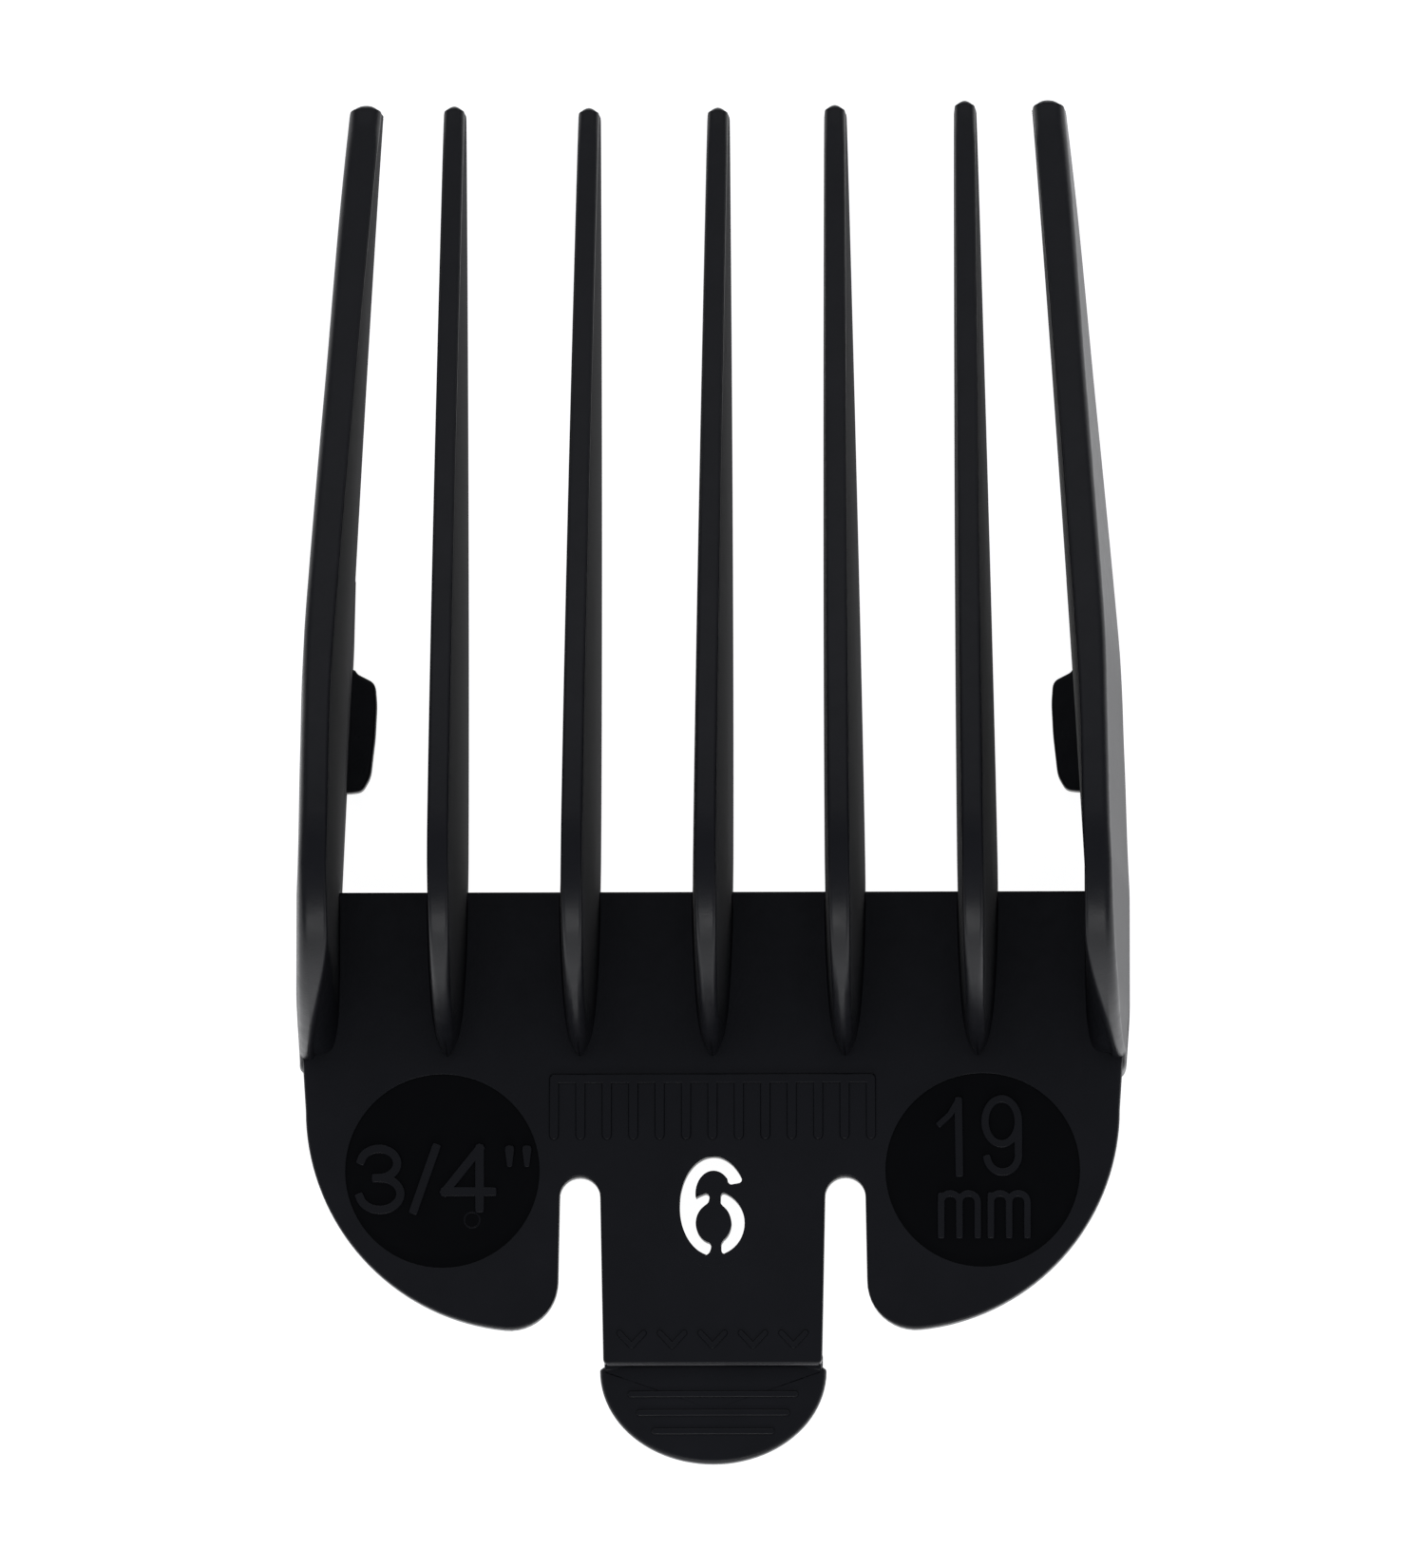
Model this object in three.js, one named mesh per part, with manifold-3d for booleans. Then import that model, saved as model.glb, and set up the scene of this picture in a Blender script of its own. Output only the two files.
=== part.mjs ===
// Clipper guard comb that leaves hair 19 mm (3/4 inch) long, number 6 of its range.
// The real comb is one nylon moulding; each mesh below is one working region of it.
// Millimetres. +X across the comb, +Y towards the tooth tips, +Z away from the blade.
// The origin is the centre of the face that seats on the clipper's fixed blade.
import * as THREE from "three";
import { mergeVertices } from "three/addons/utils/BufferGeometryUtils.js";
import Module from "manifold-3d";

const wasm = await Module();
wasm.setup();

// Plate and tail. "Ahead" and "behind" are measured from the plate's front edge.
const FRONT = 9; // the plate's front edge, ahead of the origin
const PLATE_THICK = 1.3;
const BLADE_HALF = 23.1; // half the width between the rails: a 46 mm blade and its clearance
const WALL_END = 10.4; // the side teeth and the front part of the plate end here, behind
const HEEL_HALF = 25.35;
const HEEL_ARC = { x: 11.485, behind: 13.52, r: 13.68 };
const HEEL_FILLET_R = 3;
const SLOT = { inner: 6.95, outer: 9.5, top: 17.7 };
const TONGUE_HALF = 7.2; // the middle of the plate, down to the flex line
const FLEX_BEHIND = 16; // the line about which the release tab bends
const FLEX_GAP = 0.3;
const TAB = { tipHalf: 6.76, end: 29.3 };
const LIP = { half: 7, end: 35.35, thick: 1.4 };
const LATCH = { front: 28.3, back: 29.6, half: 6.95, noseHalf: 5.5, noseReach: 0.95, noseTop: -2.7 };
const RAIL_DEPTH = 3.8; // how far the rails and the latch reach below the seat
const RAIL = { back: 11.3, front: 15.5, toe: 19.5, toeDepth: 0.8, shy: 0.05 };
const LUG = { top: -2.6, back: 6.6, front: 14.3, reach: 1.43 };

// Teeth.
const PITCH = 8.2;
const INNER_TEETH = 5;
const CREST = 20.3; // the skin edge's greatest height, just ahead of the plate
const RIDGE_TAIL = 10.2; // where the skin edge meets the plate, behind
// The skin edge in side view as two curves' control points, each a distance ahead of the
// plate's front edge and a height: a steep convex back, then a long run down to the tip.
const RIDGE_BACK = [[-RIDGE_TAIL, PLATE_THICK], [-9.6, 11], [-5.5, CREST], [2, CREST]];
const RIDGE_FRONT = [[2, CREST], [17, 17.9], [34.5, 9.3], [48.3, 2.4]];
const TIP = [48.7, 1.8];
const TOOTH = { band: 1.2, draft: 1.9, tailLoss: 0.3 }; // skin edge width, draft each side
// The side teeth flare outwards: more on the outer face, and on the inner one mostly ahead of
// the blade, from besideBlade of its draft at the plate's edge to all of it at fullAhead.
const SIDE = { band: 1.7, draft: 2.5, innerDraft: 1.5, besideBlade: 0.25, fullAhead: 13 };
// Their inner faces slant out over the heels, from this far behind the plate's front edge.
const SLANT = { behind: 4.4, out: 1.5 };
const BAND_BEVEL = 0.28;
// How far each tip stands to the right of a line straight ahead of its root, from the left
// side tooth to the right one: the moulding's long teeth are not perfectly even.
const TIP_LEAN = [-0.28, 0.4, 0.55, 0.35, -0.6, -0.75, -0.37];
// How much further ahead than TIP each of them reaches. The gain starts at REACH_FROM.
const TIP_REACH = [0.26, 0.2, 0.08, 0.08, 0.22, 0.46, 0.48];
const REACH_FROM = 20;

// Size marks.
const DISC = { x: 16.7, behind: 17.3, r: 6, floor: 0.7, face: 1.05, gap: 0.15 };
const STENCIL = { x: 0.06, behind: 19.6, stroke: 0.9, bridge: 0.69 };
const FIGURE_WIDTH = 0.48;
const UNIT_WIDTH = 0.4;
const COMB_MARK = { half: 9.8, top: 11.6, bottom: 15.1, teeth: 13, width: 0.62, rise: 0.2 };
const CHEVRON = { behind: 27.8, count: 5, spacing: 2.5, half: 0.75, drop: 0.4, width: 0.38, rise: 0.12 };
const GRIP_RIB = { steps: [1.3, 2.4, 3.5], width: 0.45, margin: 1.6, rise: 0.15 };
const BITE = 0.1; // how deep a raised mark reaches into what carries it

const BLACK_NYLON = { color: 0x1b1b1e, roughness: 0.5, metalness: 0 };
const POLISHED_NYLON = { color: 0x0c0c0e, roughness: 0.22, metalness: 0 };

const ahead = (distance) => FRONT + distance;
const behind = (distance) => FRONT - distance;
const slope = (degrees) => Math.tan(THREE.MathUtils.degToRad(degrees));

// ---- Solids -------------------------------------------------------------------------------

function toSolid(geometry) {
  const bare = geometry.clone();
  bare.deleteAttribute("normal");
  bare.deleteAttribute("uv");
  const merged = mergeVertices(bare, 1e-4);
  return new wasm.Manifold(
    new wasm.Mesh({
      numProp: 3,
      vertProperties: merged.attributes.position.array,
      triVerts: new Uint32Array(merged.index.array),
    }),
  );
}

function toGeometry(solid) {
  const mesh = solid.getMesh();
  const geometry = new THREE.BufferGeometry();
  geometry.setAttribute("position", new THREE.BufferAttribute(mesh.vertProperties, 3));
  geometry.setIndex(new THREE.BufferAttribute(mesh.triVerts, 1));
  geometry.computeVertexNormals();
  return geometry;
}

const join = (solids) => solids.reduce((whole, piece) => whole.add(piece));

// A flat outline in X and Y, raised from one height to another.
function slab(shape, low, high, curveSegments = 12) {
  const geometry = new THREE.ExtrudeGeometry(shape, {
    depth: high - low,
    bevelEnabled: false,
    curveSegments,
  });
  return geometry.translate(0, 0, low);
}

function box(x0, x1, y0, y1, z0, z1) {
  const geometry = new THREE.BoxGeometry(x1 - x0, y1 - y0, z1 - z0);
  return geometry.translate((x0 + x1) / 2, (y0 + y1) / 2, (z0 + z1) / 2);
}

// Skins rings of equal length, laid out from back to front. Each ring is convex and runs
// clockwise as seen from the front, so the faces point outwards.
function loft(rings) {
  const size = rings[0].length;
  const index = [];
  for (let i = 0; i + 1 < rings.length; i++) {
    for (let j = 0; j < size; j++) {
      const a = i * size + j;
      const b = i * size + ((j + 1) % size);
      index.push(a, b, b + size, a, b + size, a + size);
    }
  }
  const last = (rings.length - 1) * size;
  for (let j = 1; j + 1 < size; j++) {
    index.push(0, j + 1, j, last, last + j, last + j + 1);
  }
  const geometry = new THREE.BufferGeometry();
  geometry.setFromPoints(rings.flat());
  geometry.setIndex(index);
  return geometry;
}

// A line of even width with round ends, through the points of a curve or a list.
function strokeShape(points, width) {
  const half = width / 2;
  const outline = [];
  const normalAt = (i) => {
    const before = points[Math.max(i - 1, 0)];
    const after = points[Math.min(i + 1, points.length - 1)];
    return after.clone().sub(before).normalize().rotateAround(new THREE.Vector2(), Math.PI / 2);
  };
  points.forEach((p, i) => outline.push(p.clone().addScaledVector(normalAt(i), half)));
  const capAt = (i, turn) => {
    for (const step of [0.25, 0.5, 0.75]) {
      const arm = normalAt(i).rotateAround(new THREE.Vector2(), turn - Math.PI * step);
      outline.push(points[i].clone().addScaledVector(arm, half));
    }
  };
  capAt(points.length - 1, 0);
  for (let i = points.length - 1; i >= 0; i--) {
    outline.push(points[i].clone().addScaledVector(normalAt(i), -half));
  }
  capAt(0, Math.PI);
  return new THREE.Shape(outline);
}

// The straight strokes that join a list of (x, y) pairs, each a list of two points.
function lines(...pairs) {
  const points = pairs.map(([x, y]) => new THREE.Vector2(x, y));
  return points.slice(1).map((point, i) => [points[i], point]);
}

function arc(x, y, rx, ry, from, to, steps = 12) {
  const start = THREE.MathUtils.degToRad(from);
  const end = THREE.MathUtils.degToRad(to);
  return new THREE.EllipseCurve(x, y, rx, ry, start, end, end < start).getPoints(steps);
}

// A closed oval line of even width.
function hoopShape(x, y, rx, ry, width) {
  const half = width / 2;
  const shape = new THREE.Shape();
  shape.absellipse(x, y, rx + half, ry + half, 0, 2 * Math.PI);
  const hole = new THREE.Path();
  hole.absellipse(x, y, rx - half, ry - half, 0, 2 * Math.PI);
  shape.holes.push(hole);
  return shape;
}

const raise = (shapes, low, high) => join(shapes.map((shape) => toSolid(slab(shape, low, high))));

function strokes(paths, width, low, high) {
  return raise(paths.map((points) => strokeShape(points, width)), low, high);
}

// ---- Teeth --------------------------------------------------------------------------------

// The skin edge from tail to tip, as points whose x is along the comb and y is the height.
function ridge() {
  const at = ([distance, z]) => new THREE.Vector2(ahead(distance), z);
  const back = new THREE.CubicBezierCurve(...RIDGE_BACK.map(at));
  const front = new THREE.CubicBezierCurve(...RIDGE_FRONT.map(at));
  return [...back.getPoints(11), ...front.getPoints(15).slice(1), at(TIP)];
}

// How far the back of a ridge has narrowed: 0 ahead of the plate's edge, 1 at its tail.
const tailShare = (y) => THREE.MathUtils.clamp((FRONT - y) / RIDGE_TAIL, 0, 1) ** 2;

// How far tooth number i, counted from 0 at the left side tooth, leans to the right at y.
const leanAt = (i, y) => (TIP_LEAN[i] * Math.max(y - FRONT, 0)) / TIP[0];

// How much further ahead tooth number i reaches at y.
const reachAt = (i, y) => TIP_REACH[i] * THREE.MathUtils.smoothstep(y, ahead(REACH_FROM), ahead(TIP[0]));

const sideIndex = (side) => (side > 0 ? INNER_TEETH + 1 : 0);

function innerTooth(i) {
  const rootX = (i - (INNER_TEETH + 1) / 2) * PITCH;
  const rings = ridge().map(({ x: y, y: top }) => {
    const x = rootX + leanAt(i, y);
    const band = (TOOTH.band / 2) * (1 - TOOTH.tailLoss * tailShare(y));
    const foot = band + top * slope(TOOTH.draft);
    return [
      [-foot, 0],
      [-band, top - BAND_BEVEL],
      [-band + BAND_BEVEL, top],
      [band - BAND_BEVEL, top],
      [band, top - BAND_BEVEL],
      [foot, 0],
    ].map(([dx, z]) => new THREE.Vector3(x + dx, y + reachAt(i, y), z));
  });
  const underPlate = box(rootX - 5, rootX + 5, behind(20), FRONT, -1, PLATE_THICK);
  return toGeometry(toSolid(loft(rings)).subtract(toSolid(underPlate)));
}

// Half the clear width between the side teeth: parallel along the plate, closing in ahead.
function innerFace(y) {
  const distance = Math.max(y - FRONT, 0);
  return BLADE_HALF - 0.05 * distance - 0.00022 * distance ** 2;
}

// How far the inner face of a side tooth has leant outwards at a height above the seat.
function innerLean(y, height) {
  const grown = THREE.MathUtils.smoothstep(y, FRONT, ahead(SIDE.fullAhead));
  const share = THREE.MathUtils.lerp(SIDE.besideBlade, 1, grown);
  return share * height * slope(SIDE.innerDraft);
}

// The outer face at blade level. Along the plate it stays as wide as under the crest.
function outerFoot(y, top) {
  const height = y < FRONT ? CREST : top;
  return innerFace(y) + innerLean(y, height) + SIDE.band + height * slope(SIDE.draft);
}

// The height of the skin edge at y, between the points of its line.
function skinHeight(y) {
  const points = ridge();
  const next = points.findIndex((point) => point.x >= y);
  if (next < 1) return CREST;
  const [a, b] = [points[next - 1], points[next]];
  return THREE.MathUtils.mapLinear(y, a.x, b.x, a.y, b.y);
}

// How far the skin edge of a side tooth has slanted outwards at y, over the heel.
function slant(y) {
  const share = (FRONT - y - SLANT.behind) / (RIDGE_TAIL - SLANT.behind);
  return SLANT.out * THREE.MathUtils.clamp(share, 0, 1) ** 1.5;
}

// Mirrors a list of (x, z) pairs to one side and keeps the ring's turning sense.
function sideRing(pairs, side, y) {
  const i = sideIndex(side);
  const [lean, reach] = [leanAt(i, y), reachAt(i, y)];
  const ring = pairs.map(([x, z]) => new THREE.Vector3(side * x + lean, y + reach, z));
  return side > 0 ? ring : ring.reverse();
}

function sideTooth(side) {
  const points = ridge();
  points[0].setX(behind(WALL_END));
  const rings = points.map(({ x: y, y: top }) => {
    const inside = innerFace(y);
    const leaning = inside + innerLean(y, top) + slant(y);
    const foot = outerFoot(y, top);
    const outside = foot - top * slope(SIDE.draft);
    return sideRing(
      [
        [inside, 0],
        [leaning, top - BAND_BEVEL],
        [leaning + BAND_BEVEL, top],
        [outside - BAND_BEVEL, top],
        [outside, top - BAND_BEVEL],
        [foot, 0],
      ],
      side,
      y,
    );
  });
  return loft(rings);
}

// ---- Blade guides under the comb -----------------------------------------------------------

function bladeRail(side) {
  const profile = [
    [-RAIL.back, RAIL_DEPTH - 1],
    [-RAIL.back + 1, RAIL_DEPTH],
    [0, RAIL_DEPTH],
    [LUG.back, RAIL_DEPTH],
    [(LUG.back + LUG.front) / 2, RAIL_DEPTH],
    [LUG.front, RAIL_DEPTH],
    [RAIL.front, RAIL_DEPTH],
    [(RAIL.front + RAIL.toe) / 2, RAIL_DEPTH - 1.2],
    [RAIL.toe, RAIL.toeDepth],
  ];
  const rings = profile.map(([distance, depth]) => {
    const y = ahead(distance);
    const inside = innerFace(y);
    const outside = outerFoot(y, skinHeight(y)) - RAIL.shy;
    return sideRing([[inside, -depth], [inside, 0], [outside, 0], [outside, -depth]], side, y);
  });
  return loft(rings);
}

// A lug on the rail's inner face, under the blade's corner tooth.
function bladeLug(side) {
  const root = [LUG.back, (LUG.back + LUG.front) / 2, LUG.front].map((distance) => {
    const y = ahead(distance);
    return new THREE.Vector2(innerFace(y) + side * leanAt(sideIndex(side), y), y);
  });
  const nose = root[2].x - LUG.reach;
  const shape = new THREE.Shape();
  shape.moveTo(root[0].x, root[0].y);
  shape.lineTo(root[1].x, root[1].y);
  shape.lineTo(root[2].x, root[2].y);
  shape.lineTo(nose + 0.3, ahead(LUG.front - 0.75));
  shape.quadraticCurveTo(nose, ahead(LUG.front - 1), nose, ahead(LUG.front - 1.4));
  shape.lineTo(nose + 0.3, ahead(LUG.back + 1.6));
  shape.quadraticCurveTo(nose + 0.45, root[0].y, root[0].x, root[0].y);
  const lug = slab(shape, -RAIL_DEPTH, LUG.top, 6);
  return side > 0 ? lug : mirrored(lug);
}

function mirrored(geometry) {
  const solid = toSolid(geometry).mirror([1, 0, 0]);
  return toGeometry(solid);
}

// ---- Plate --------------------------------------------------------------------------------

function basePlate() {
  const shape = new THREE.Shape();
  shape.moveTo(-BLADE_HALF, FRONT);
  shape.lineTo(-BLADE_HALF, behind(WALL_END));
  shape.lineTo(-TONGUE_HALF, behind(WALL_END));
  shape.lineTo(-TONGUE_HALF, behind(FLEX_BEHIND) + FLEX_GAP / 2);
  shape.lineTo(TONGUE_HALF, behind(FLEX_BEHIND) + FLEX_GAP / 2);
  shape.lineTo(TONGUE_HALF, behind(WALL_END));
  shape.lineTo(BLADE_HALF, behind(WALL_END));
  shape.lineTo(BLADE_HALF, FRONT);
  return slab(shape, 0, PLATE_THICK);
}

// One rounded heel of the plate beside the release tab, with the slot's round end cut into it
// and a shallow round pocket for the size disc.
function heel(side) {
  const arcY = behind(HEEL_ARC.behind);
  const filletX = SLOT.outer + HEEL_FILLET_R;
  const reach = HEEL_ARC.r - HEEL_FILLET_R;
  const filletY = arcY - Math.sqrt(reach ** 2 - (filletX - HEEL_ARC.x) ** 2);
  const meet = Math.atan2(filletY - arcY, filletX - HEEL_ARC.x);
  const slotR = (SLOT.outer - TONGUE_HALF) / 2;
  const shape = new THREE.Shape();
  shape.moveTo(TONGUE_HALF, behind(WALL_END));
  shape.lineTo(TONGUE_HALF, behind(SLOT.top) - slotR);
  shape.absarc(TONGUE_HALF + slotR, behind(SLOT.top) - slotR, slotR, Math.PI, 0, true);
  shape.lineTo(SLOT.outer, filletY);
  shape.absarc(filletX, filletY, HEEL_FILLET_R, Math.PI, meet + 2 * Math.PI, false);
  shape.absarc(HEEL_ARC.x, arcY, HEEL_ARC.r, meet, 0, false);
  shape.lineTo(HEEL_HALF, behind(WALL_END));
  const pocket = new THREE.Shape();
  pocket.absarc(DISC.x, behind(DISC.behind), DISC.r, 0, 2 * Math.PI);
  const body = toSolid(slab(shape, 0, PLATE_THICK, 14));
  const made = body.subtract(toSolid(slab(pocket, DISC.floor, PLATE_THICK + 1, 18)));
  return toGeometry(side > 0 ? made : made.mirror([1, 0, 0]));
}

// ---- Size marks ---------------------------------------------------------------------------

// The floor of a size pocket with its raised figures, which end level with the plate.
function sizeDisc(side, figures) {
  const disc = new THREE.Shape();
  disc.absarc(0, 0, DISC.r - DISC.gap, 0, 2 * Math.PI);
  const floor = toSolid(slab(disc, DISC.floor, DISC.face, 18));
  const solid = join([floor, ...figures]);
  return toGeometry(solid.translate(side * DISC.x, behind(DISC.behind), 0));
}

const raiseFigures = (paths, width) => strokes(paths, width, DISC.face - BITE, PLATE_THICK);

function inchFigures() {
  const three = [arc(-3.92, 0.49, 1.13, 0.91, 168, -82), arc(-3.86, -1.41, 1.27, 0.99, 86, -168)];
  const slash = lines([-1.76, -2.4], [-0.41, 1.44]);
  const four = lines([2.3, -2.3], [2.3, 1.4], [0.15, -1.28], [3.08, -1.28]);
  const ticks = [...lines([4.15, 1.35], [4.15, 0.4]), ...lines([5.22, 1.35], [5.22, 0.4])];
  return [raiseFigures([...three, ...slash, ...four, ...ticks], FIGURE_WIDTH)];
}

// The letter m, three legs and two arches, whose first leg stands at x.
function letterM(x, y, width, height) {
  const r = width / 4;
  const legs = [0, 2 * r, 4 * r].flatMap((dx) => lines([x + dx, y], [x + dx, y + height - r]));
  const arches = [r, 3 * r].map((dx) => arc(x + dx, y + height - r, r, r, 180, 0, 8));
  return [...legs, ...arches];
}

function metricFigures() {
  const one = lines([-2.65, 2.95], [-1.5, 4.35], [-1.46, -0.2]);
  const bowl = hoopShape(1.17, 3.02, 1.03, 1.4, FIGURE_WIDTH);
  const tail = [...lines([2.2, 3], [2.2, 0.92]), arc(1.22, 0.92, 0.98, 1.05, 0, -165)];
  const units = [-2.57, 0.5].flatMap((x) => letterM(x, -4.05, 2.26, 2.62));
  return [
    raiseFigures([...one, ...tail], FIGURE_WIDTH),
    raise([bowl], DISC.face - BITE, PLATE_THICK),
    raiseFigures(units, UNIT_WIDTH),
  ];
}

// A raised outline of a comb on the plate: one spine and a row of short teeth.
function combMark() {
  const { half, teeth, width, rise } = COMB_MARK;
  const top = behind(COMB_MARK.top);
  const bottom = behind(COMB_MARK.bottom);
  const paths = Array.from({ length: teeth }, (_, i) => {
    const x = -half + (2 * half * i) / (teeth - 1);
    return lines([x, top], [x, bottom]);
  });
  paths.push(lines([-half, top], [half, top]));
  return toGeometry(strokes(paths.flat(), width, PLATE_THICK, PLATE_THICK + rise));
}

// The figure 6 as a stencil: its strokes, less the two bridges that hold the island.
function stencilSix() {
  const y = behind(STENCIL.behind);
  const low = -1;
  const high = PLATE_THICK + 1;
  const hook = arc(STENCIL.x, y - 0.2, 1.55, 2.9, 180, 38, 16);
  const bowl = hoopShape(STENCIL.x, y - 0.97, 1.5, 1.6, STENCIL.stroke);
  const figure = raise([strokeShape(hook, STENCIL.stroke), bowl], low, high);
  const half = STENCIL.bridge / 2;
  const bridgeX = STENCIL.x + 0.09;
  const bridges = [
    box(bridgeX - half, bridgeX + half, y + 0.1, y + 1.2, low - 1, high + 1),
    box(bridgeX - half, bridgeX + half, y - 3.2, y - 2, low - 1, high + 1),
  ];
  return bridges.reduce((left, bridge) => left.subtract(toSolid(bridge)), figure);
}

// ---- Release tab --------------------------------------------------------------------------

// A row of raised arrowheads that point to the lip.
function chevrons() {
  const { count, spacing, half, drop, width, rise } = CHEVRON;
  const y = behind(CHEVRON.behind);
  const paths = Array.from({ length: count }, (_, i) => {
    const x = (i - (count - 1) / 2) * spacing;
    return lines([x - half, y + drop], [x, y - drop], [x + half, y + drop]);
  });
  return strokes(paths.flat(), width, PLATE_THICK - BITE, PLATE_THICK + rise);
}

function releaseTab() {
  const root = behind(FLEX_BEHIND) - FLEX_GAP / 2;
  const end = behind(TAB.end);
  const shape = new THREE.Shape();
  shape.moveTo(-SLOT.inner, root);
  shape.lineTo(-TAB.tipHalf, end + 0.5);
  shape.quadraticCurveTo(-TAB.tipHalf, end, -TAB.tipHalf + 0.5, end);
  shape.lineTo(TAB.tipHalf - 0.5, end);
  shape.quadraticCurveTo(TAB.tipHalf, end, TAB.tipHalf, end + 0.5);
  shape.lineTo(SLOT.inner, root);
  const tab = toSolid(slab(shape, 0, PLATE_THICK, 4)).subtract(stencilSix());
  return toGeometry(tab.add(chevrons()));
}

// The bar across the tab's end, whose front face stops the blade's heel.
function latchPost() {
  const back = behind(LATCH.back);
  const front = behind(LATCH.front);
  const profile = [
    [back, 0],
    [front, 0],
    [front, LATCH.noseTop],
    [back, LATCH.noseTop],
  ];
  return across(profile, LATCH.half);
}

// The foot of the post and its catch under the blade's heel, with a lead-in below.
function latchNose() {
  const back = behind(LATCH.back);
  const front = behind(LATCH.front);
  const tip = front + LATCH.noseReach;
  const chamfer = 0.6;
  const foot = [
    [back, LATCH.noseTop],
    [front, LATCH.noseTop],
    [front, -RAIL_DEPTH],
    [back + chamfer, -RAIL_DEPTH],
    [back, -RAIL_DEPTH + chamfer],
  ];
  const nose = [
    [front - 0.5, LATCH.noseTop],
    [tip - 0.15, LATCH.noseTop - 0.05],
    [tip, LATCH.noseTop - 0.35],
    [front + 0.3, -RAIL_DEPTH],
    [front - 0.5, -RAIL_DEPTH],
  ];
  const solids = [across(foot, LATCH.half), across(nose, LATCH.noseHalf)].map(toSolid);
  return toGeometry(join(solids));
}

// Extrudes a profile of (y, z) pairs across the comb, from -x to x.
function across(profile, x) {
  const rings = [x, -x].map((at) => profile.map(([y, z]) => new THREE.Vector3(at, y, z)));
  return loft(rings);
}

// The half-round thumb lip behind the tab, one plate thickness lower, with raised grip ribs.
function thumbLip() {
  const back = behind(LATCH.back);
  const depth = LIP.end - LATCH.back;
  const shape = new THREE.Shape();
  shape.moveTo(LIP.half, back);
  shape.absellipse(0, back, LIP.half, depth, 0, -Math.PI, true, 0);
  shape.lineTo(LIP.half, back);
  const ribs = GRIP_RIB.steps.flatMap((distance) => {
    const half = LIP.half * Math.sqrt(1 - (distance / depth) ** 2) - GRIP_RIB.margin;
    return lines([-half, back - distance], [half, back - distance]);
  });
  const lip = toSolid(slab(shape, -LIP.thick, 0, 14));
  return toGeometry(lip.add(strokes(ribs, GRIP_RIB.width, -BITE, GRIP_RIB.rise)));
}

// ---- The comb -----------------------------------------------------------------------------

function add(group, name, geometry, finish) {
  const mesh = new THREE.Mesh(geometry, new THREE.MeshStandardMaterial(finish));
  mesh.name = name;
  group.add(mesh);
}

function comb() {
  const group = new THREE.Group();
  add(group, "base_plate", basePlate(), BLACK_NYLON);
  for (const [name, side] of [["left", -1], ["right", 1]]) {
    add(group, `${name}_heel`, heel(side), BLACK_NYLON);
    add(group, `${name}_side_tooth`, sideTooth(side), BLACK_NYLON);
    add(group, `${name}_blade_rail`, bladeRail(side), BLACK_NYLON);
    add(group, `${name}_blade_lug`, bladeLug(side), BLACK_NYLON);
  }
  for (let i = 1; i <= INNER_TEETH; i++) {
    add(group, `tooth_${i}`, innerTooth(i), BLACK_NYLON);
  }
  add(group, "inch_size_disc", sizeDisc(-1, inchFigures()), POLISHED_NYLON);
  add(group, "metric_size_disc", sizeDisc(1, metricFigures()), POLISHED_NYLON);
  add(group, "comb_mark", combMark(), BLACK_NYLON);
  return group;
}

function tail() {
  const group = new THREE.Group();
  add(group, "release_tab", releaseTab(), BLACK_NYLON);
  add(group, "latch_post", latchPost(), BLACK_NYLON);
  add(group, "latch_nose", latchNose(), BLACK_NYLON);
  add(group, "thumb_lip", thumbLip(), BLACK_NYLON);
  return group;
}

const guardComb = new THREE.Group();
guardComb.add(comb(), tail());

export default guardComb;
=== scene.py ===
"""Clipper guard comb, number 6, for 19 mm (3/4 inch): the looks around the CAD frame.

The comb is one black nylon moulding. Each piece below is rounded as the moulding is and stands for
the CAD nodes it replaces. Shapes are worked out in millimetres in the frame's axes, and put_mesh()
turns them into metres. "Ahead" is a distance in front of the plate's front edge, along +Y.
"""

import math

import bmesh
import bpy
from mathutils import Matrix, Vector
from mathutils.geometry import tessellate_polygon


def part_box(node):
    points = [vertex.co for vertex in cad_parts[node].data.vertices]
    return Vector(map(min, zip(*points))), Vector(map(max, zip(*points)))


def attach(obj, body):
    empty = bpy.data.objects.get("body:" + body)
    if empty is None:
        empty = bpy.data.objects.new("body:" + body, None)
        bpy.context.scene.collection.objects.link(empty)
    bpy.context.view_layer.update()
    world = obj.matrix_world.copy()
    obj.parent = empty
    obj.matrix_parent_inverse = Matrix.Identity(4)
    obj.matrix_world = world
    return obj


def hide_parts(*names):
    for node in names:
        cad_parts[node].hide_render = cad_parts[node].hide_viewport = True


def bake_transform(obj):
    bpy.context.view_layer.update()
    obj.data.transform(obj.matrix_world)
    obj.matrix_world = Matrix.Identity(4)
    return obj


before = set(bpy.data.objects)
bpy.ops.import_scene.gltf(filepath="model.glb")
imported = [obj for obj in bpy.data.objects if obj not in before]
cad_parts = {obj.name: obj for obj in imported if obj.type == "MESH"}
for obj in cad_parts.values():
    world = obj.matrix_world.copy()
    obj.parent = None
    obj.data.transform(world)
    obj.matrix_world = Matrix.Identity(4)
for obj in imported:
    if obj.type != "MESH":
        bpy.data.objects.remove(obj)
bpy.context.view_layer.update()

MM = 0.001


def node_box(name):
    """A CAD node's lowest and highest corners, in millimetres."""
    low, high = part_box(name)
    return low / MM, high / MM


# ---- Sizes, in millimetres, from the CAD frame ------------------------------------------------

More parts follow.
